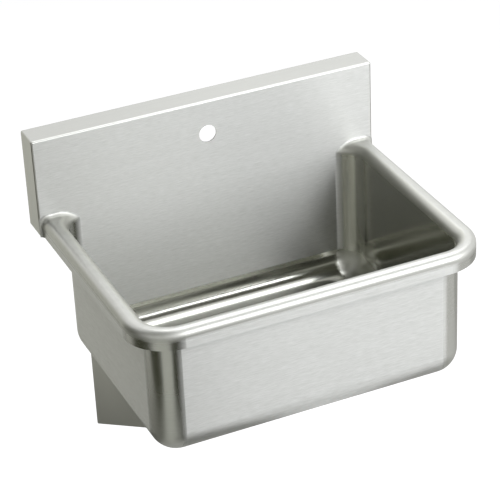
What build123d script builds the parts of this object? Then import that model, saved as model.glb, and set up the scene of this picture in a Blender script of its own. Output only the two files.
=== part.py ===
from build123d import *
from math import sqrt
import os

os.makedirs("parts", exist_ok=True)

# Wall-hung stainless hand sink. X runs across the front, +Y points into the wall, +Z is up.
# The wall is the plane Y = 0. The origin is the middle of the wall hanger's screw holes.

# Sheet metal
sheet = 1.9                 # 14 gauge bowl and splash
bend_outer = 3.2            # outside radius of the splash folds
strip_sheet = 2.7           # 12 gauge wall hanger and brackets
strip_bend = 4.2            # outside radius of the folds in the brackets

# Splash
splash_width = 635.0
splash_height = 177.8
splash_depth = 50.8         # top and side returns, from the wall to the face
splash_top = 56.0           # height of the top return above the hanger's screws
faucet_hole = 31.75
faucet_drop = 61.9          # from the top return to the middle of the hole

# Rim and lip
splash_skirt = 30.2         # how far the splash's sides run below the flat of the rim
rim_step = 6.0              # from the splash's side to the face of the side lip
rim_side = 33.4             # from the inside of a side wall to the face of its lip
rim_front = 29.4            # from the inside of the front wall to the face of its lip
rim_corner = 76.2           # plan radius of the front corners
lip_drop = 33.0             # from the rim to the free edge of the lip
outer_roll = 12.0           # rolled edge between rim and lip
inner_roll = 15.9           # rolled edge between rim and bowl
rim_cove = 8.4              # ground cove where the rim ends meet the splash
seam_rise = 15.6            # from the rim up to the seam between bowl and splash
panel_margin = 4.5          # from the splash's side to the edge of the bowl's back panel

# Bowl, measured inside
bowl_front = 461.6          # from the wall to the inside of the front wall
bowl_depth = 256.5          # from the rim to the floor
cove = 44.45                # upright and bottom corners
rear_set = 1.0              # how far the coves run into the back panel

# Pressed recess round the drain
recess_gap = 4.7            # on the diameter, round the drain's flange
recess_depth = 3.0
recess_edge = 1.5

# Hook channel in the splash and the strip it drops over
channel_margin = 37.5       # from the splash's side to the channel's end
channel_drop = 8.0          # from the top return's underside to the channel's web
channel_face = 26.0         # height of the flange welded to the back of the face
hook_leg = 22.0             # height of the leg behind the hanger
hook_gap = 0.6              # from that leg to the wall
hook_foot = 2.0             # from the leg's tip down to the hanger's joggle
hook_bend = 2.5             # radius of the folds at the middle of the sheet
hanger_length = 457.2
hanger_base = 28.0          # height of the flat on the wall
joggle_rise = 8.0
wall_screw_hole = 8.7
outer_screws = 406.4        # spacing of the outer pair of hanger screws
inner_screws = 203.2        # spacing of the inner pair

# Gusset brackets
bracket_margin = 1.65       # from the edge of the bowl's flat bottom to a bracket's outer face
bracket_drop = 213.0        # height of the gusset at the wall
bracket_setback = 106.0     # from the inside of the bowl's front to the bracket's front end
bracket_nose = 11.4         # height of the gusset at its front end
bracket_heel = 8.0          # level stretch of its lower edge at the wall
bracket_flange = 38.0
bracket_corner = 6.0
bracket_notch = 12.0        # square cut where the two flanges would meet
bracket_screws = 152.4      # spacing of the two wall screws in a bracket

# Studs, washers and nuts under the bowl
stud_diameter = 6.35
stud_length = 19.0
stud_chamfer = 0.8
stud_hole = 7.2
stud_inset = 19.0           # from a bracket's outer face to its studs
stud_rear = 130.0           # from the wall
stud_setback = 35.6         # from the bracket's front end to the front stud
washer_diameter = 16.0
washer_thickness = 1.5
nut_flats = 11.1
nut_height = 5.5
snug = 0.2                  # on the diameter, between a screwed or pushed-on piece and its rod

# Damping pad on the flat bottom
pad_thickness = 3.0
pad_side_gap = 9.0          # to the brackets' top flanges
pad_length = 270.0
pad_corner = 20.0
pad_gap = 3.0               # round the drain recess

# Drain cup
barrel_diameter = 85.7
barrel_wall = 1.85
barrel_gap = 3.3            # on the diameter, in the bowl's drain hole
flange_margin = 28.6        # on the diameter, beyond the barrel
flange_sheet = 1.6
flange_seal = 1.0
cup_depth = 44.0            # from the flange's underside to the seat
cup_mouth = 3.0             # rounding where the flange turns into the barrel
seat_margin = 17.7          # on the diameter, from the barrel in to the flat seat
cone_height = 12.0          # from the seat up to the straight barrel
seat_thickness = 2.5
outlet_diameter = 47.8      # 1-1/2 inch pipe thread
outlet_bore = 40.0
outlet_length = 22.0        # from the seat to the outlet's end
cross_drop = 6.0            # from the seat to the cross bar
cross_bar = 3.0
hub_diameter = 13.0
hub_bore = 7.2

# Seals and locknut
ring_margin = 22.3          # on the diameter, beyond the barrel
ring_gap = 0.4              # on the diameter, round the barrel
rubber_ring = 3.2
hard_ring = 0.8
locknut_height = 9.0
locknut_margin = 12.3       # on the diameter, beyond the barrel
lug_count = 8
lug_width = 12.0

# Basket, at rest with its stopper on the seat
seat_gap = 0.3
stopper_lap = 14.0          # on the diameter, beyond the outlet's bore
stopper_thickness = 4.0
basket_washer = 22.0
basket_washer_sheet = 1.0
basket_sheet = 1.0
basket_gap = 1.2            # on the diameter, in the barrel
basket_turn = 3.8           # on the diameter, from the basket's rim in to its wall
basket_taper = 17.0         # on the diameter, from the top of that wall to its bottom
basket_height = 36.7
basket_round = 4.0
slot_rise = 8.0             # from the basket's bottom to its slots
slot_count = 16
slot_width = 3.0
slot_length = 16.0
floor_hole = 4.0
floor_hole_count = 10
floor_hole_margin = 18.0    # on the diameter, from the basket's bottom edge to the ring of holes
stem_diameter = 4.8
stem_foot = 14.0            # from the seat down to the foot of the stem
collar_diameter = 9.0
collar_height = 2.0
knob_rise = 30.0            # from the basket's bottom to the knob
knob_diameter = 18.0
knob_neck = 10.0
knob_height = 12.0
knob_crown = 3.0            # height of the dome, and of the cone and straight band below it
knob_socket = 6.0
clip_diameter = 6.6
clip_height = 4.0

# Sizes, levels and planes that follow
rim_width = splash_width - 2 * rim_step
bowl_width = rim_width - 2 * rim_side
lip_front = bowl_front + rim_front
rim_z = splash_top - splash_height + splash_skirt
lip_z = rim_z - lip_drop
floor_z = rim_z - bowl_depth
under_z = floor_z - sheet
seam_z = rim_z + seam_rise
splash_bottom = splash_top - splash_height
face_y = -splash_depth
face_plane = Plane.XZ.offset(splash_depth)
panel_edge = splash_width / 2 - panel_margin
drain_forward = (splash_depth + bowl_front) / 2
drain_hole = barrel_diameter + barrel_gap
flange_diameter = barrel_diameter + flange_margin
recess_diameter = flange_diameter + recess_gap
drain_plane = Plane.XZ.offset(drain_forward)
drain_axis = Axis((0, -drain_forward, 0), (0, 0, 1))
drain_centre = (0, -drain_forward)
recess_floor = floor_z - recess_depth
recess_under = under_z - recess_depth


def top_face(piece):
    return piece.faces().filter_by(Plane.XY).sort_by(Axis.Z)[-1]


def at_height(edges, height):
    return edges.filter_by_position(Axis.Z, height - 0.001, height + 0.001)


def open_slab(width, front, corner, bottom, top):
    """A slab with two rounded front corners that runs past the wall at the back."""
    past = 2 * inner_roll
    with BuildPart() as slab:
        with BuildSketch(Plane.XY.offset(bottom)):
            with Locations((0, past)):
                Rectangle(width, front + past, align=(Align.CENTER, Align.MAX))
        extrude(amount=top - bottom)
        fillet(slab.edges().filter_by(Axis.Z).group_by(Axis.Y)[0], corner)
    return slab.part


def coved_block(skin, top):
    """The bowl's inside as a solid, grown by a skin, with one radius on all lower edges."""
    rear = face_y + rear_set + skin
    front = -bowl_front - skin
    with BuildPart() as block:
        with BuildSketch(Plane.XY.offset(floor_z - skin)):
            with Locations((0, (rear + front) / 2)):
                Rectangle(bowl_width + 2 * skin, rear - front)
        extrude(amount=top - floor_z + skin)
        upright = block.edges().filter_by(Axis.Z)
        low = block.faces().sort_by(Axis.Z)[0].edges()
        fillet(upright + low, cove + skin)
    return block.part


bowl_inside = coved_block(0, splash_top)
bowl_outside = coved_block(sheet, rim_z)

# Open channel under the rim, between lip and bowl
with BuildPart() as under_rim:
    add(open_slab(rim_width - 2 * sheet, lip_front - sheet, rim_corner - sheet, lip_z, rim_z - sheet))
    fillet(top_face(under_rim).edges().sort_by(Axis.Y)[:-1], outer_roll - sheet)
    add(bowl_outside, mode=Mode.SUBTRACT)
    fillet(top_face(under_rim).inner_wires()[0].edges(), inner_roll - sheet)
    split(bisect_by=face_plane, keep=Keep.TOP)

# Back panel of the bowl: its lower corners are where the outside coves pass through the face plane
cove_reach = sqrt((cove + sheet) ** 2 - (cove - rear_set) ** 2)
panel_half = bowl_width / 2 - cove + cove_reach
panel_low = floor_z + cove - cove_reach
panel_stock = splash_width / 2 + 2 * rim_cove
panel_top = rim_z + 2 * rim_cove
with BuildPart() as back_panel:
    with BuildSketch(face_plane):
        with Locations((0, lip_z)):
            Rectangle(2 * panel_stock, panel_top - lip_z, align=(Align.CENTER, Align.MIN))
        with Locations((0, panel_low)):
            Rectangle(2 * panel_half, lip_z - panel_low, align=(Align.CENTER, Align.MIN))
    extrude(amount=-sheet)
    fillet(back_panel.edges().filter_by(Axis.Y).group_by(Axis.Z)[0], cove_reach)

# What is kept of the bowl: the splash's side strips lie behind the rim ends
with BuildPart() as bowl_limits:
    with BuildSketch(face_plane):
        with Locations((0, seam_z)):
            Rectangle(splash_width, seam_z - under_z, align=(Align.CENTER, Align.MAX))
    extrude(amount=lip_front)
    with BuildSketch(face_plane):
        with Locations((0, seam_z)):
            Rectangle(2 * panel_edge, seam_z - under_z, align=(Align.CENTER, Align.MAX))
    extrude(amount=-sheet)

with BuildPart() as bowl:
    # Rim, lip and bowl as one block, then the bowl's inside and the rolled edges
    add(open_slab(rim_width, lip_front, rim_corner, lip_z, rim_z))
    fillet(top_face(bowl).edges().sort_by(Axis.Y)[:-1], outer_roll)
    add(bowl_outside)
    add(bowl_inside, mode=Mode.SUBTRACT)
    fillet(top_face(bowl).inner_wires()[0].edges(), inner_roll)
    split(bisect_by=face_plane, keep=Keep.TOP)
    # Back panel, with one cove along the whole line where rim and bowl meet it
    add(back_panel.part)
    front_faces = bowl.faces().filter_by_position(Axis.Y, face_y - 0.001, face_y + 0.001)
    outline = front_faces.sort_by(SortBy.AREA)[-1].edges()
    outline = outline.filter_by_position(Axis.X, -rim_width / 2 - 0.001, rim_width / 2 + 0.001)
    fillet(outline.filter_by_position(Axis.Z, panel_low, panel_top - rim_cove), rim_cove)
    add(under_rim.part, mode=Mode.SUBTRACT)
    add(bowl_limits.part, mode=Mode.INTERSECT)
    # Pressed recess round the drain opening
    with BuildSketch(Plane.XY.offset(under_z)):
        with Locations(drain_centre):
            Circle(recess_diameter / 2 + sheet)
    extrude(amount=-recess_depth)
    with BuildSketch(Plane.XY.offset(floor_z)):
        with Locations(drain_centre):
            Circle(recess_diameter / 2)
    extrude(amount=-recess_depth, mode=Mode.SUBTRACT)
    with BuildSketch(Plane.XY.offset(recess_floor)):
        with Locations(drain_centre):
            Circle(drain_hole / 2)
    extrude(amount=-sheet, mode=Mode.SUBTRACT)
    rounds = bowl.edges().filter_by(GeomType.CIRCLE)
    fillet(at_height(rounds, floor_z), recess_edge)
    fillet(at_height(rounds, recess_under).sort_by(SortBy.RADIUS)[-1], recess_edge)

# Splash: a pan open to the wall and below, notched for the bowl's back panel
with BuildPart() as pan_inside:
    with BuildSketch(Plane.XY.offset(splash_bottom)):
        Rectangle(splash_width - 2 * sheet, splash_depth - sheet, align=(Align.CENTER, Align.MAX))
    extrude(amount=splash_height - sheet)
    pan_corners = pan_inside.edges().filter_by(Axis.Z).group_by(Axis.Y)[0]
    fillet(pan_corners + top_face(pan_inside).edges().sort_by(Axis.Y)[:-1], bend_outer - sheet)

with BuildPart() as backsplash:
    with BuildSketch(Plane.XY.offset(splash_bottom)):
        Rectangle(splash_width, splash_depth, align=(Align.CENTER, Align.MAX))
    extrude(amount=splash_height)
    splash_corners = backsplash.edges().filter_by(Axis.Z).group_by(Axis.Y)[0]
    fillet(splash_corners + top_face(backsplash).edges().sort_by(Axis.Y)[:-1], bend_outer)
    add(pan_inside.part, mode=Mode.SUBTRACT)
    with BuildSketch(face_plane):
        with Locations((0, seam_z)):
            Rectangle(2 * panel_edge, seam_z - splash_bottom, align=(Align.CENTER, Align.MAX))
        with Locations((0, splash_top - faucet_drop)):
            Circle(faucet_hole / 2)
    extrude(amount=-sheet, mode=Mode.SUBTRACT)

# Hook channel: welded to the back of the face, its rear leg drops behind the wall hanger
channel_length = splash_width - 2 * channel_margin
web_z = splash_top - sheet - channel_drop - sheet / 2
leg_y = -hook_gap - sheet / 2
with BuildPart() as hanger_channel:
    with BuildSketch(Plane.YZ.offset(-channel_length / 2)):
        with BuildLine() as channel_path:
            FilletPolyline(
                (face_y + 1.5 * sheet, web_z - channel_face),
                (face_y + 1.5 * sheet, web_z),
                (leg_y, web_z),
                (leg_y, web_z - hook_leg),
                radius=hook_bend,
            )
        trace(line_width=sheet)
    extrude(amount=channel_length)

# Wall hanger: a flat on the wall, a joggle and the upright that carries the channel's web
base_y = -strip_sheet / 2
upright_y = leg_y - hook_bend - strip_sheet / 2
joggle_top = web_z - hook_leg - hook_foot
with BuildPart() as wall_hanger:
    with BuildSketch(Plane.YZ.offset(-hanger_length / 2)):
        with BuildLine() as hanger_path:
            FilletPolyline(
                (base_y, -hanger_base / 2),
                (base_y, joggle_top - joggle_rise),
                (upright_y, joggle_top),
                (upright_y, web_z - sheet / 2),
                radius=hook_bend,
            )
        trace(line_width=strip_sheet)
    extrude(amount=hanger_length)
    with BuildSketch(Plane.XZ):
        with GridLocations(outer_screws, 0, 2, 1):
            Circle(wall_screw_hole / 2)
        with GridLocations(inner_screws, 0, 2, 1):
            Circle(wall_screw_hole / 2)
    extrude(amount=strip_sheet, mode=Mode.SUBTRACT)

bracket_half = bowl_width / 2 - cove - bracket_margin
bracket_reach = bowl_front - bracket_setback
stud_front = bracket_reach - stud_setback


def gusset_bracket(outer_x, inward):
    """A folded gusset: plate at outer_x, top and wall flanges turned towards the middle."""
    free_x = outer_x + inward * bracket_flange
    inner_x = outer_x + inward * strip_sheet
    middle_x = (outer_x + free_x) / 2
    with BuildPart() as bracket:
        with BuildSketch(Plane.YZ.offset(outer_x)):
            with BuildLine():
                Polyline(
                    (-bracket_notch, under_z),
                    (-bracket_notch, under_z - bracket_notch),
                    (0, under_z - bracket_notch),
                    (0, under_z - bracket_drop),
                    (-bracket_heel, under_z - bracket_drop),
                    (-bracket_reach, under_z - bracket_nose),
                    (-bracket_reach, under_z),
                    close=True,
                )
            make_face()
        extrude(amount=inward * strip_sheet)
        with BuildSketch(Plane.XY.offset(under_z)):
            with Locations((middle_x, -bracket_notch)):
                Rectangle(bracket_flange, bracket_reach - bracket_notch, align=(Align.CENTER, Align.MAX))
        extrude(amount=-strip_sheet)
        with BuildSketch(Plane.XZ):
            with Locations((middle_x, under_z - bracket_notch)):
                Rectangle(bracket_flange, bracket_drop - bracket_notch, align=(Align.CENTER, Align.MAX))
        extrude(amount=strip_sheet)
        # Folds, outside and inside, then the free corners of the flanges
        for x, radius in ((outer_x, strip_bend), (inner_x, strip_bend - strip_sheet)):
            here = bracket.edges().filter_by_position(Axis.X, x - 0.001, x + 0.001)
            top_fold = here.filter_by(Axis.Y).sort_by(Axis.Z)[-1]
            wall_fold = here.filter_by(Axis.Z).sort_by(Axis.Y)[-1]
            fillet([top_fold, wall_fold], radius)
        free = bracket.edges().filter_by_position(Axis.X, free_x - 0.001, free_x + 0.001)
        short = free.filter_by(lambda edge: abs(edge.length - strip_sheet) < 0.01)
        fillet(short, bracket_corner)
        # Stud holes in the top flange, screw holes in the wall flange
        with BuildSketch(Plane.XY.offset(under_z)):
            with Locations((outer_x + inward * stud_inset, -stud_rear)):
                Circle(stud_hole / 2)
            with Locations((outer_x + inward * stud_inset, -stud_front)):
                Circle(stud_hole / 2)
        extrude(amount=-strip_sheet, mode=Mode.SUBTRACT)
        with BuildSketch(Plane.XZ):
            with Locations((middle_x, under_z - bracket_drop / 2)):
                with GridLocations(0, bracket_screws, 1, 2):
                    Circle(wall_screw_hole / 2)
        extrude(amount=strip_sheet, mode=Mode.SUBTRACT)
    return bracket


left_bracket = gusset_bracket(-bracket_half, 1)
right_bracket = gusset_bracket(bracket_half, -1)

# Four welded studs, each with a washer and a nut under the bracket's top flange
stud_x = bracket_half - stud_inset
stud_places = [(x, -y) for x in (-stud_x, stud_x) for y in (stud_rear, stud_front)]
washer_z = under_z - strip_sheet
nut_z = washer_z - washer_thickness

with BuildPart() as bracket_studs:
    with BuildSketch(Plane.XY.offset(under_z)):
        with Locations(stud_places):
            Circle(stud_diameter / 2)
    extrude(amount=-stud_length)
    chamfer(bracket_studs.edges().group_by(Axis.Z)[0], stud_chamfer)

with BuildPart() as bracket_washers:
    with BuildSketch(Plane.XY.offset(washer_z)):
        with Locations(stud_places):
            Circle(washer_diameter / 2)
            Circle(stud_hole / 2, mode=Mode.SUBTRACT)
    extrude(amount=-washer_thickness)

with BuildPart() as bracket_nuts:
    with BuildSketch(Plane.XY.offset(nut_z)):
        with Locations(stud_places):
            RegularPolygon(nut_flats / 2, 6, major_radius=False)
            Circle((stud_diameter + snug) / 2, mode=Mode.SUBTRACT)
    extrude(amount=-nut_height)

# Damping pad, glued to the flat bottom round the drain recess
pad_width = 2 * (bracket_half - bracket_flange - pad_side_gap)
with BuildPart() as sound_pad:
    with BuildSketch(Plane.XY.offset(under_z)):
        with Locations(drain_centre):
            RectangleRounded(pad_width, pad_length, pad_corner)
            Circle(recess_diameter / 2 + sheet + pad_gap, mode=Mode.SUBTRACT)
    extrude(amount=-pad_thickness)

# Drain cup: flange, threaded barrel, cone down to a flat seat, threaded outlet with a cross bar
seat_diameter = barrel_diameter - seat_margin
flange_z = recess_floor + flange_seal
flange_top = flange_z + flange_sheet
seat_z = flange_z - cup_depth
outlet_end = seat_z - outlet_length
bore = barrel_diameter / 2 - barrel_wall
with BuildPart() as strainer_body:
    with BuildSketch(drain_plane):
        with BuildLine():
            Polyline(
                (flange_diameter / 2, flange_z),
                (flange_diameter / 2, flange_top),
                (bore, flange_top),
                (bore, seat_z + cone_height),
                (seat_diameter / 2, seat_z),
                (outlet_bore / 2, seat_z),
                (outlet_bore / 2, outlet_end),
                (outlet_diameter / 2, outlet_end),
                (outlet_diameter / 2, seat_z - seat_thickness),
                (seat_diameter / 2, seat_z - seat_thickness),
                (barrel_diameter / 2, seat_z + cone_height - seat_thickness),
                (barrel_diameter / 2, flange_z),
                close=True,
            )
        make_face()
    revolve(axis=drain_axis)
    mouth = at_height(strainer_body.edges(), flange_top).sort_by(SortBy.RADIUS)
    fillet(mouth[0], cup_mouth)
    fillet(mouth[-1], flange_sheet / 2)
    with BuildSketch(Plane.XY.offset(seat_z - cross_drop)):
        with Locations(drain_centre):
            Rectangle(outlet_bore + barrel_wall, cross_bar)
            Rectangle(cross_bar, outlet_bore + barrel_wall)
            Circle(hub_diameter / 2)
            Circle(hub_bore / 2, mode=Mode.SUBTRACT)
    extrude(amount=-cross_bar)


def drain_ring(outer, inner, top, height):
    """A flat ring round the drain's axis, hanging down from a level."""
    with BuildPart() as ring:
        with BuildSketch(Plane.XY.offset(top)):
            with Locations(drain_centre):
                Circle(outer / 2)
                Circle(inner / 2, mode=Mode.SUBTRACT)
        extrude(amount=-height)
    return ring


# Seals and locknut: one seal in the recess, the rest stacked on the barrel under the bowl
ring_bore = barrel_diameter + ring_gap
ring_diameter = barrel_diameter + ring_margin
locknut_diameter = barrel_diameter + locknut_margin
hard_ring_z = recess_under - rubber_ring
locknut_z = hard_ring_z - hard_ring
flange_gasket = drain_ring(flange_diameter, drain_hole, flange_z, flange_seal)
body_gasket = drain_ring(ring_diameter, ring_bore, recess_under, rubber_ring)
friction_ring = drain_ring(ring_diameter, ring_bore, hard_ring_z, hard_ring)

with BuildPart() as locknut:
    with BuildSketch(Plane.XY.offset(locknut_z)):
        with Locations(drain_centre):
            Circle(locknut_diameter / 2)
            with PolarLocations(0, lug_count):
                Rectangle(ring_diameter / 2, lug_width, align=(Align.MIN, Align.CENTER))
            Circle(ring_bore / 2, mode=Mode.SUBTRACT)
    extrude(amount=-locknut_height)

# Lift-out basket, stacked up from the seat: stopper, washer, perforated cup, stem and knob
basket_rim = barrel_diameter - 2 * barrel_wall - basket_gap
basket_top = basket_rim - basket_turn
basket_bottom = basket_top - basket_taper
floor_hole_circle = basket_bottom - floor_hole_margin
stopper_diameter = outlet_bore + stopper_lap
stopper_z = seat_z + seat_gap
basket_z = stopper_z + stopper_thickness + basket_washer_sheet
basket_floor = basket_z + basket_sheet
basket_top_z = basket_z + basket_height
stem_z = seat_z - stem_foot
knob_z = basket_floor + knob_rise
stem_hole = stem_diameter + snug

basket_stopper = drain_ring(stopper_diameter, stem_hole, stopper_z + stopper_thickness, stopper_thickness)
stopper_washer = drain_ring(basket_washer, stem_hole, basket_z, basket_washer_sheet)
stem_clip = drain_ring(clip_diameter, stem_hole, stem_z + clip_height, clip_height)

with BuildPart() as basket_cup:
    with BuildSketch(drain_plane):
        with BuildLine():
            Polyline(
                (stem_hole / 2, basket_z),
                (basket_bottom / 2, basket_z),
                (basket_top / 2, basket_top_z - basket_sheet),
                (basket_rim / 2, basket_top_z - basket_sheet),
                (basket_rim / 2, basket_top_z),
                (basket_top / 2 - basket_sheet, basket_top_z),
                (basket_bottom / 2 - basket_sheet, basket_floor),
                (stem_hole / 2, basket_floor),
                close=True,
            )
        make_face()
    revolve(axis=drain_axis)
    rings = basket_cup.edges().filter_by(GeomType.CIRCLE)
    fillet(at_height(rings, basket_floor).sort_by(SortBy.RADIUS)[-1], basket_round - basket_sheet)
    fillet(at_height(rings, basket_z).sort_by(SortBy.RADIUS)[-1], basket_round)
    with BuildSketch(Plane.XY.offset(basket_z + slot_rise)):
        with Locations(drain_centre):
            with PolarLocations(basket_bottom / 2, slot_count):
                Rectangle(basket_rim - basket_bottom, slot_width)
    extrude(amount=slot_length, mode=Mode.SUBTRACT)
    with BuildSketch(Plane.XY.offset(basket_z)):
        with Locations(drain_centre):
            with PolarLocations(floor_hole_circle / 2, floor_hole_count):
                Circle(floor_hole / 2)
    extrude(amount=basket_sheet, mode=Mode.SUBTRACT)

with BuildPart() as basket_stem:
    with BuildSketch(Plane.XY.offset(stem_z)):
        with Locations(drain_centre):
            Circle(stem_diameter / 2)
    extrude(amount=knob_z + knob_socket - stem_z)
    with BuildSketch(Plane.XY.offset(basket_floor)):
        with Locations(drain_centre):
            Circle(collar_diameter / 2)
    extrude(amount=collar_height)

knob_top = knob_z + knob_height
crown_z = knob_top - knob_crown
skirt_z = crown_z - knob_crown
with BuildPart() as basket_knob:
    with BuildSketch(drain_plane):
        with BuildLine():
            Polyline(
                (0, knob_z),
                (knob_neck / 2, knob_z),
                (knob_neck / 2, skirt_z - knob_crown),
                (knob_diameter / 2, skirt_z),
                (knob_diameter / 2, crown_z),
            )
            TangentArc((0, knob_top), (knob_diameter / 2, crown_z), tangent=(1, 0))
            Line((0, knob_top), (0, knob_z))
        make_face()
    revolve(axis=drain_axis)
    with BuildSketch(Plane.XY.offset(knob_z)):
        with Locations(drain_centre):
            Circle(stem_hole / 2)
    extrude(amount=knob_socket, mode=Mode.SUBTRACT)

pieces = {
    "bowl": bowl,
    "backsplash": backsplash,
    "hanger_channel": hanger_channel,
    "wall_hanger": wall_hanger,
    "left_bracket": left_bracket,
    "right_bracket": right_bracket,
    "bracket_studs": bracket_studs,
    "bracket_washers": bracket_washers,
    "bracket_nuts": bracket_nuts,
    "sound_pad": sound_pad,
    "strainer_body": strainer_body,
    "flange_gasket": flange_gasket,
    "body_gasket": body_gasket,
    "friction_ring": friction_ring,
    "locknut": locknut,
    "basket_cup": basket_cup,
    "basket_stem": basket_stem,
    "basket_knob": basket_knob,
    "basket_stopper": basket_stopper,
    "stopper_washer": stopper_washer,
    "stem_clip": stem_clip,
}
for name, piece in pieces.items():
    piece.part.label = name
    export_step(piece.part, f"parts/{name}.step")
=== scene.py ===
import bpy
import bmesh
from math import radians
from mathutils import Matrix, Vector

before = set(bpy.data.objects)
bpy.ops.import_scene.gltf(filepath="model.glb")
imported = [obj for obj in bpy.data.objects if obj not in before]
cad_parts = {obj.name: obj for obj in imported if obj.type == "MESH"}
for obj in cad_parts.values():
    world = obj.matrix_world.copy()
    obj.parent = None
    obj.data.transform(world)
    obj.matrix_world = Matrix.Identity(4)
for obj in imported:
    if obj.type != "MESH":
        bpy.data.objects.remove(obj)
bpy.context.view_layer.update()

# Camera: a long lens from the front left, thirty degrees above the rim,
# set where the lines of the splash and the rim put it.
camera_data = bpy.data.cameras.new("camera")
camera_data.sensor_width = 36.0
camera_data.lens = 152.295
camera_data.clip_end = 50.0
camera = bpy.data.objects.new("camera", camera_data)
camera_place = Vector((-1.23006, -3.07072, 1.64028))
to_the_right = Vector((0.90806, -0.41676, -0.04173))
to_the_top = Vector((0.24155, 0.43967, 0.86507))
into_the_scene = Vector((0.34217, 0.79561, -0.49992))
turn = Matrix((to_the_right, to_the_top, -into_the_scene)).transposed().to_4x4()
camera.matrix_world = Matrix.Translation(camera_place) @ turn
bpy.context.collection.objects.link(camera)
bpy.context.scene.camera = camera
bpy.context.scene.view_settings.view_transform = "Standard"

# Room: a plain pale floor under the hung sink, and a white surround. Both are plain white to the
# camera and in reflections, and the floor keeps the sink's shadow.
floor_level = -0.96
floor_half = 12.0


def placed(name, shape):
    """An object made from a shape, at the origin."""
    mesh = bpy.data.meshes.new(name)
    shape.to_mesh(mesh)
    shape.free()
    made = bpy.data.objects.new(name, mesh)
    bpy.context.collection.objects.link(made)
    return made


class Socket:
    """A shader socket that takes part in sums: each operator adds the Math node that it stands for."""

    def __init__(self, tree, link):
        self.tree = tree
        self.link = link

    def maths(self, operation, *others, clamp=False):
        """A Math node that takes this socket first."""
        node = self.tree.nodes.new("ShaderNodeMath")
        node.operation = operation
        node.use_clamp = clamp
        for place, value in enumerate((self, *others)):
            if isinstance(value, Socket):
                self.tree.links.new(value.link, node.inputs[place])
            else:
                node.inputs[place].default_value = value
        return Socket(self.tree, node.outputs[0])

    def __add__(self, other):
        return self.maths("ADD", other)

    def __sub__(self, other):
        return self.maths("SUBTRACT", other)

    def __rsub__(self, other):
        return self.maths("MULTIPLY_ADD", -1.0, other)

    def __mul__(self, other):
        return self.maths("MULTIPLY", other)

    def __abs__(self):
        return self.maths("ABSOLUTE")

    __radd__ = __add__
    __rmul__ = __mul__

    def either(self, other):
        """The greater of two masks."""
        return self.maths("MAXIMUM", other)

    def above(self, level, blur):
        """0 below a level, 1 above it, changing over a short distance."""
        return ((self - level) * (1.0 / blur)).maths("ADD", 0.5, clamp=True)

    def below(self, level, blur):
        """1 below a level, 0 above it, changing over a short distance."""
        return 1.0 - self.above(level, blur)


class Finish:
    """A material or a surround under construction, with one method for any of its nodes."""

    def __init__(self, name, kept_with=bpy.data.materials):
        self.made = kept_with.new(name)
        self.made.use_nodes = True
        self.tree = self.made.node_tree
        self.tree.nodes.clear()

    def node(self, kind, settings=None, values=None, output=0):
        """Adds a node: its settings first, then the values or links of its sockets."""
        node = self.tree.nodes.new(kind)
        for name, value in (settings or {}).items():
            setattr(node, name, value)
        for name, value in (values or {}).items():
            if isinstance(value, Socket):
                self.tree.links.new(value.link, node.inputs[name])
            else:
                node.inputs[name].default_value = value
        return Socket(self.tree, node.outputs[output]) if node.outputs else None

    def point(self):
        """The point on the piece, in metres."""
        return self.node("ShaderNodeTexCoord", output="Object")

    def facing(self):
        """The direction in which the surface faces."""
        return self.node("ShaderNodeTexCoord", output="Normal")

    def split(self, vector):
        """The X, Y and Z of a vector."""
        parts = self.node("ShaderNodeSeparateXYZ", values={0: vector}).link.node.outputs
        return [Socket(self.tree, part) for part in parts]

    def grain(self, point, stretch=(1.0, 1.0, 1.0), scale=1.0, detail=3.0):
        """Noise between 0 and 1, its fineness given for each axis or for all."""
        where = self.node("ShaderNodeMapping", values={"Vector": point, "Scale": stretch})
        return self.node("ShaderNodeTexNoise", values={
            "Vector": where, "Scale": scale, "Detail": detail, "Roughness": 0.6})

    def cells(self, point, scale):
        """The distance to the nearest of many scattered points."""
        return self.node("ShaderNodeTexVoronoi", values={"Vector": point, "Scale": scale})

    def mixed(self, amount, first, second):
        """A colour between two colours."""
        return self.node("ShaderNodeMix", {"data_type": "RGBA"}, {0: amount, 6: first, 7: second}, 2)

    def bumped(self, height, depth):
        """A surface raised by a height of 0 to 1 times a depth in metres."""
        return self.node("ShaderNodeBump", values={"Height": height, "Strength": 1.0, "Distance": depth})

    def surface(self, **values):
        """A Principled surface, its sockets named with spaces written as underscores."""
        return self.node("ShaderNodeBsdfPrincipled", values={
            name.replace("_", " "): value for name, value in values.items()})

    def done(self, shader, kind="ShaderNodeOutputMaterial"):
        """The finished material or surround."""
        self.node(kind, values={"Surface": shader})
        return self.made

    def cover(self, shader, *pieces):
        """Finishes the material and puts it on pieces of the frame."""
        material = self.done(shader)
        for piece in pieces:
            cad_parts[piece].material_slots[0].material = material


def background_seen(finish):
    """1 for rays from the camera and for mirrored or refracted rays, 0 for light that falls on things."""
    camera_ray = finish.node("ShaderNodeLightPath", output="Is Camera Ray")
    glossy_ray = finish.node("ShaderNodeLightPath", output="Is Glossy Ray")
    clear_ray = finish.node("ShaderNodeLightPath", output="Is Transmission Ray")
    return camera_ray + glossy_ray + clear_ray


floor_shape = bmesh.new()
bmesh.ops.create_grid(floor_shape, x_segments=1, y_segments=1, size=floor_half)
bmesh.ops.translate(floor_shape, verts=floor_shape.verts, vec=(0.0, 0.0, floor_level))
floor = placed("floor", floor_shape)
paint = Finish("floor_paint")
matt = paint.node("ShaderNodeBsdfDiffuse", values={"Color": (0.8, 0.8, 0.8, 1.0)})
glow = paint.node("ShaderNodeEmission", values={
    "Color": (0.5, 0.5, 0.5, 1.0), "Strength": background_seen(paint)})
floor.data.materials.append(paint.done(paint.node("ShaderNodeAddShader", values={0: matt, 1: glow})))

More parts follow.
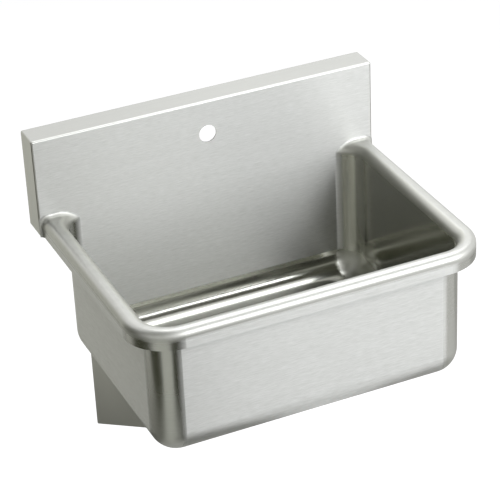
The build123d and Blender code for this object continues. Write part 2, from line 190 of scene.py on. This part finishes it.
studio = Finish("studio", bpy.data.worlds)
room = studio.node("ShaderNodeBackground", values={"Color": (0.55, 0.55, 0.55, 1.0)})
white = studio.node("ShaderNodeBackground", values={"Color": (1.0, 1.0, 1.0, 1.0)})
bpy.context.scene.world = studio.done(
    studio.node("ShaderNodeMixShader", values={0: background_seen(studio), 1: room, 2: white}),
    "ShaderNodeOutputWorld")

# Soft boxes: a large one in front and to the right, and a larger and weaker one overhead. Both are a
# little cooler than the room and point at the middle of the sink.
middle = Vector((0.0, -0.25, -0.2))


def soft_box(name, place, width, height, power):
    """A rectangular lamp at a place, turned towards the middle of the sink."""
    lamp_data = bpy.data.lights.new(name, "AREA")
    lamp_data.shape = "RECTANGLE"
    lamp_data.size = width
    lamp_data.size_y = height
    lamp_data.energy = power
    lamp_data.color = (0.965, 0.98, 1.0)
    lamp = bpy.data.objects.new(name, lamp_data)
    aim = (middle - Vector(place)).to_track_quat("-Z", "Y")
    lamp.matrix_world = Matrix.Translation(place) @ aim.to_matrix().to_4x4()
    bpy.context.collection.objects.link(lamp)


soft_box("front_box", (0.92, -2.00, 0.62), 1.55, 1.45, 24.5)
soft_box("overhead_box", (0.75, 0.30, 1.80), 1.8, 1.6, 17.5)

# Flags: glowing sheets round the sink that only mirrored rays see, which paint the reflections in the metal. The
# black and grey ones stand for the dark side of a studio and paint the bands on the rolled edges and corners.
# The paler ones, one of them a little brighter than white, paint the light stripes between those bands.
black = (0.04, 0.042, 0.025)


def flag(name, turned, near, far, width, top, tone, start=floor_level + 0.01, painted_shadow=0.0):
    """A glowing sheet, seen only in reflections, that lies from near to far at a compass angle round the middle,
    and then hangs up to a top.

    It lies at its start level, and is flat where the top isn't above that. A painted shadow of the sink darkens
    it towards
    the sink: it is black at half that distance from the middle, and has its tone at twice that distance."""
    shape = bmesh.new()
    bmesh.ops.create_grid(shape, x_segments=1, y_segments=1, size=0.5)
    bmesh.ops.scale(shape, verts=shape.verts, vec=(far - near, width, 1.0))
    bmesh.ops.translate(shape, verts=shape.verts, vec=((near + far) / 2, 0.0, start))
    if top > start:
        back_edge = [edge for edge in shape.edges if all(vert.co.x > far - 0.001 for vert in edge.verts)]
        hung = bmesh.ops.extrude_edge_only(shape, edges=back_edge)["geom"]
        lifted = [part for part in hung if isinstance(part, bmesh.types.BMVert)]
        bmesh.ops.translate(shape, verts=lifted, vec=(0.0, 0.0, top - start))
    bmesh.ops.rotate(shape, verts=shape.verts, matrix=Matrix.Rotation(radians(turned), 3, "Z"))
    bmesh.ops.translate(shape, verts=shape.verts, vec=(middle.x, middle.y, 0.0))
    reflected_sheet = placed(name, shape)
    reflection_paint = Finish(name)
    strength = 1.0
    # Painted shadow of the sink: the sheet's glow fades to black near the sink.
    if painted_shadow:
        x, y = reflection_paint.split(reflection_paint.point())[:2]
        away = (x * x + (y - middle.y) * (y - middle.y)).maths("SQRT")
        strength = (away - 0.5 * painted_shadow).maths("DIVIDE", 1.5 * painted_shadow, clamp=True)
    reflected_sheet.data.materials.append(reflection_paint.done(reflection_paint.node(
        "ShaderNodeEmission", values={"Color": (*tone, 1.0), "Strength": strength})))
    reflected_sheet.visible_camera = False
    reflected_sheet.visible_diffuse = False
    reflected_sheet.visible_shadow = False


flag("grey_sheet", 0, -3.0, 3.0, 6.0, floor_level, (0.45, 0.45, 0.43), floor_level + 0.004)
flag("black_left", 172, 0.55, 2.0, 2.0, 1.3, (0.04, 0.042, 0.022))
flag("grey_left", -131, 0.6, 2.05, 0.85, 0.95, (0.52, 0.53, 0.48), floor_level + 0.014)
flag("black_high", -138, 1.7, 1.9, 2.6, 3.2, (0.07, 0.072, 0.045), 0.95)
flag("black_top", -53, 1.6, 1.8, 1.25, 2.85, (0.05, 0.052, 0.03), 1.5)
flag("black_bar", -66, 1.6, 1.8, 0.7, 1.24, black, 0.74)
flag("black_roof", -150, 0.3, 2.0, 2.0, 3.2, black, 3.2)
flag("black_front", -98.5, 0.6, 1.9, 0.8, -0.3, black, floor_level + 0.018)
flag("black_step", -72, 0.5, 1.15, 0.9, -0.9, (0.08, 0.082, 0.06), floor_level + 0.016)
flag("lit_floor", -67, 1.15, 2.5, 1.0, floor_level, (1.1, 1.1, 1.1), floor_level + 0.012)
flag("lit_right", -30, 1.0, 2.6, 1.3, floor_level, (0.70, 0.70, 0.68), floor_level + 0.011)
# The grey sheet behind and to the left carries a painted shadow of the sink, dark near the sink.
flag("grey_back", 122, 0.4, 2.3, 2.2, 0.9, (0.68, 0.68, 0.62), floor_level + 0.022, painted_shadow=1.0)

# Bowl: one wrap of 14 gauge stainless, drawn with coved corners, its rim rolled over on three sides and
# its top welded into the splash. The flats keep the brushed grain of the sheet, and the rolls, the
# outer corners and the inside coves are ground and polished by hand.
rim_level = -0.0916
roll_foot = rim_level - 0.0165
splash_face = -0.0508
inner_front = -0.4616
bowl_floor = -0.3481
cove_top = bowl_floor + 0.0445
bowl_middle = (0.0, -0.256, -0.15)
front_half = -0.3
corner_blend = -0.26


def brushed(finish, point):
    """The brushed grain of the sheet, of fine level scratches and a few longer ones, and its cloudiness."""
    fine = finish.grain(point, (60.0, 60.0, 700.0))
    long = finish.grain(point, (5.0, 5.0, 260.0), detail=1.0)
    clouds = finish.grain(point, (3.0, 3.0, 5.0), detail=2.0)
    return (fine - 0.5) * 2.2 + (long - 0.5) * 0.5 + (clouds - 0.5) * 0.3 + 0.5, clouds


def satin(finish, grain):
    """The surface of the brushed sheet, which draws each reflection out across its grain."""
    return finish.surface(
        Base_Color=finish.mixed(grain, (0.50, 0.505, 0.486, 1.0), (0.62, 0.623, 0.608, 1.0)),
        Metallic=1.0, Roughness=grain * 0.05 + 0.45, Anisotropic=0.95, Anisotropic_Rotation=0.25)


bowl_steel = Finish("bowl_stainless")
point = bowl_steel.point()
facing = bowl_steel.facing()
y, z = bowl_steel.split(point)[1:]
turned_x, turned_y, turned_z = bowl_steel.split(facing)
grain, clouds = brushed(bowl_steel, point)
to_middle = bowl_steel.node("ShaderNodeVectorMath", {"operation": "SUBTRACT"}, {0: bowl_middle, 1: point})
faced = bowl_steel.node("ShaderNodeVectorMath", {"operation": "DOT_PRODUCT"}, {0: to_middle, 1: facing}, "Value")
coved = y.below(splash_face - 0.003, 0.006).either(z.below(cove_top, 0.002))
inside = faced.above(0.0, 0.02) * y.above(inner_front - 0.0008, 0.001) * coved
rolled = z.above(roll_foot, 0.006) * y.below(splash_face - 0.0004, 0.0006)
upright = abs(turned_x * turned_y).above(0.12, 0.20)
cornered = upright * y.below(front_half, 0.02)
corner_foot = cornered * z.below(corner_blend, 0.12)
balled = turned_z.above(0.15, 0.3) * abs(turned_x).above(0.2, 0.3) * z.below(cove_top, 0.02)
ground = bowl_steel.mixed(grain, (0.56, 0.565, 0.535, 1.0), (0.61, 0.612, 0.585, 1.0))
# Inside the bowl the polished steel is a more olive colour than outside: a painted tint of the light reflected
# round the bowl.
polished = bowl_steel.surface(
    Base_Color=bowl_steel.mixed(inside, ground, (0.59, 0.593, 0.548, 1.0)), Metallic=1.0,
    Roughness=clouds * 0.05 + 0.13 + upright * 0.08 + rolled * 0.27 + balled * 0.2 + corner_foot * 0.22)
bowl_steel.cover(bowl_steel.node("ShaderNodeMixShader", values={
    0: inside.either(rolled).either(cornered), 1: satin(bowl_steel, grain), 2: polished}), "bowl")

# Backsplash: a pan folded from the same sheet, with returns to the wall at its top and sides and one
# faucet hole. Its face is brushed along its length, and the folds are burnished by the press.
splash_steel = Finish("splash_stainless")
point = splash_steel.point()
y = splash_steel.split(point)[1]
turned_x, turned_y, turned_z = splash_steel.split(splash_steel.facing())
grain, clouds = brushed(splash_steel, point)
across = splash_steel.grain(point, (16.0, 700.0, 16.0))
returned = y.above(splash_face + 0.0022, 0.0006)
folded = (abs(turned_x) + abs(turned_y) + abs(turned_z)).above(1.15, 0.12)
side = splash_steel.surface(
    Base_Color=splash_steel.mixed(across, (0.54, 0.545, 0.52, 1.0), (0.61, 0.612, 0.585, 1.0)),
    Metallic=1.0, Roughness=clouds * 0.08 + 0.36 - folded * 0.08)
splash_steel.cover(splash_steel.node("ShaderNodeMixShader", values={
    0: returned.either(folded), 1: satin(splash_steel, grain), 2: side}), "backsplash")

# Hanger channel and wall hanger: the channel is welded across the inside of the splash and drops over
# the hanger, a stepped strip that is screwed to the wall first. Both are galvanised sheet.
zinc = Finish("galvanised_sheet")
point = zinc.point()
spangle = zinc.cells(point, 110.0)
frost = zinc.grain(point, scale=60.0)
dull = spangle * 0.5 + frost * 0.5
zinc.cover(zinc.surface(
    Base_Color=zinc.mixed(dull, (0.66, 0.67, 0.69, 1.0), (0.50, 0.51, 0.52, 1.0)),
    Metallic=1.0, Roughness=dull * 0.25 + 0.34, Normal=zinc.bumped(spangle, 0.00004)),
    "hanger_channel", "wall_hanger")

# Damping pad: a mineral-filled sheet glued to the flat bottom, so that falling water doesn't drum.
# Its skin is matt and pebbled, with pale flecks of filler.
pad = Finish("damping_sheet")
point = pad.point()
pebbles = pad.grain(point, scale=420.0, detail=4.0)
flecks = pad.cells(point, 330.0).below(0.16, 0.08)
patches = pad.grain(point, scale=18.0)
pad.cover(pad.surface(
    Base_Color=pad.mixed(flecks * 0.35 + patches * 0.4, (0.16, 0.16, 0.165, 1.0), (0.34, 0.34, 0.335, 1.0)),
    Roughness=pebbles * 0.2 + 0.72, Normal=pad.bumped(pebbles, 0.0004)), "sound_pad")

# Brackets: a pair of 12 gauge gussets, each folded inwards along the wall and under the bowl and
# left in its mill finish, which is duller than the bowl and shows the rolling direction.
mill = Finish("mill_stainless")
point = mill.point()
rolling = mill.grain(point, (14.0, 2.5, 240.0), detail=4.0)
stain = mill.grain(point, scale=9.0)
mill.cover(mill.surface(
    Base_Color=mill.mixed(rolling * 0.5 + stain * 0.5, (0.58, 0.585, 0.54, 1.0), (0.70, 0.705, 0.66, 1.0)),
    Metallic=1.0, Roughness=stain * 0.12 + 0.27, Normal=mill.bumped(rolling, 0.00001)),
    "left_bracket", "right_bracket")

# Studs, washers and nuts: four threaded studs welded under the bowl carry the brackets' top flanges.
# They are plain bright steel, turned and pressed, and so are the washer and the clip on the drain's post.
stud_thread = (0.0013, -0.3600, -0.3692)  # pitch, top and foot


def threaded(z, pitch, top, foot):
    """The height of a thread between two levels: a V groove at each pitch."""
    turns = z.maths("PINGPONG", 0.5 * pitch) * (2.0 / pitch)
    return turns * z.below(top, 0.0004) * z.above(foot, 0.0004)


bright = Finish("bright_steel")
point = bright.point()
thread = threaded(bright.split(point)[2], *stud_thread)
turned = bright.grain(point, (60.0, 60.0, 2600.0))
smut = bright.grain(point, scale=260.0)
bright.cover(bright.surface(
    Base_Color=bright.mixed(smut, (0.56, 0.56, 0.57, 1.0), (0.68, 0.68, 0.67, 1.0)),
    Metallic=1.0, Roughness=smut * 0.16 + 0.26, Normal=bright.bumped(turned * 0.02 + thread, 0.0006)),
    "bracket_studs", "bracket_washers", "bracket_nuts", "stopper_washer", "stem_clip")

# Strainer cup: pressed from stainless and polished, with a rolled thread on its barrel for the locknut
# and a pipe thread on its outlet. Its flange sits in the recess of the bowl.
drain_line = -0.2562
barrel_radius = 0.0424
barrel_thread = (0.0021, -0.3530, -0.3810)  # pitch, top and foot
outlet_radius = 0.0233
outlet_thread = (0.0022, -0.3970, -0.4165)  # pitch, top and foot


def from_drain(finish, x, y):
    """The distance from the axis of the drain."""
    beside = finish.node("ShaderNodeCombineXYZ", values={"X": x, "Y": y - drain_line})
    return finish.node("ShaderNodeVectorMath", {"operation": "LENGTH"}, {0: beside}, "Value")


def spun(finish, from_axis, z, fineness):
    """The fine rings that turning and polishing leave round the drain."""
    profile = finish.node("ShaderNodeCombineXYZ", values={"X": from_axis * fineness, "Y": z * fineness})
    return finish.node("ShaderNodeTexNoise", {"noise_dimensions": "2D"}, {
        "Vector": profile, "Scale": 1.0, "Detail": 2.0})


cup_steel = Finish("polished_drain_cup")
point = cup_steel.point()
x, y, z = cup_steel.split(point)
from_axis = from_drain(cup_steel, x, y)
rings = spun(cup_steel, from_axis, z, 1800.0)
handled = cup_steel.grain(point, scale=40.0)
threads = (threaded(z, *barrel_thread) * from_axis.above(barrel_radius, 0.0003)
           + threaded(z, *outlet_thread) * from_axis.above(outlet_radius, 0.0003))
cup_steel.cover(cup_steel.surface(
    Base_Color=cup_steel.mixed(rings, (0.70, 0.70, 0.69, 1.0), (0.80, 0.80, 0.79, 1.0)),
    Metallic=1.0, Roughness=rings * 0.08 + handled * 0.06 + 0.10,
    Normal=cup_steel.bumped(threads + rings * 0.01, 0.0008)), "strainer_body")

# Flange seal: a ring of soft closed-cell foam, which is laid in the recess of the bowl and squeezed
# flat under the cup's flange.
foam = Finish("sealing_foam")
cells = foam.cells(foam.point(), 1400.0)
foam.cover(foam.surface(
    Base_Color=foam.mixed(cells, (0.40, 0.40, 0.39, 1.0), (0.28, 0.28, 0.275, 1.0)),
    Roughness=cells * 0.2 + 0.75, Normal=foam.bumped(cells, 0.0002)), "flange_gasket")

# Rubber ring under the bowl and stopper under the basket: moulded black rubber, matt, with the faint
# bloom that such rubber gets on the shelf.
rubber = Finish("moulded_rubber")
point = rubber.point()
bloom = rubber.grain(point, scale=55.0, detail=4.0)
skin = rubber.grain(point, scale=1500.0)
rubber.cover(rubber.surface(
    Base_Color=rubber.mixed(bloom, (0.022, 0.022, 0.023, 1.0), (0.07, 0.07, 0.068, 1.0)),
    Roughness=bloom * 0.25 + 0.48, Normal=rubber.bumped(skin, 0.00006)), "body_gasket", "basket_stopper")

# Friction ring: hard fibre between the rubber and the locknut, which lets the nut turn without
# dragging the rubber round with it.
fibre = Finish("hard_fibre")
strands = fibre.grain(fibre.point(), (90.0, 260.0, 900.0), detail=4.0)
fibre.cover(fibre.surface(
    Base_Color=fibre.mixed(strands, (0.44, 0.32, 0.20, 1.0), (0.66, 0.52, 0.36, 1.0)),
    Roughness=strands * 0.2 + 0.6, Normal=fibre.bumped(strands, 0.00008)), "friction_ring")

# Locknut: a sand-cast brass ring with eight lugs, which clamps the cup to the bowl from below.
# It is left rough from the mould and has dulled.
brass = Finish("cast_brass")
point = brass.point()
sand = brass.grain(point, scale=900.0, detail=4.0)
tarnish = brass.grain(point, scale=45.0, detail=4.0)
brass.cover(brass.surface(
    Base_Color=brass.mixed(tarnish, (0.66, 0.58, 0.36, 1.0), (0.44, 0.37, 0.24, 1.0)),
    Metallic=1.0, Roughness=sand * 0.2 + tarnish * 0.15 + 0.32, Normal=brass.bumped(sand, 0.0003)), "locknut")

# Basket: a perforated cup with a post and a knob, lifted out by hand. The cup is pressed and
# polished, and the post and knob are turned, so their fine rings run round the drain's axis.
basket_steel = Finish("polished_basket")
point = basket_steel.point()
x, y, z = basket_steel.split(point)
rings = spun(basket_steel, from_drain(basket_steel, x, y), z, 2600.0)
touched = basket_steel.grain(point, scale=70.0)
basket_steel.cover(basket_steel.surface(
    Base_Color=basket_steel.mixed(rings, (0.70, 0.70, 0.69, 1.0), (0.80, 0.80, 0.79, 1.0)),
    Metallic=1.0, Roughness=rings * 0.05 + touched * 0.10 + 0.08,
    Normal=basket_steel.bumped(rings, 0.000006)), "basket_cup", "basket_stem", "basket_knob")
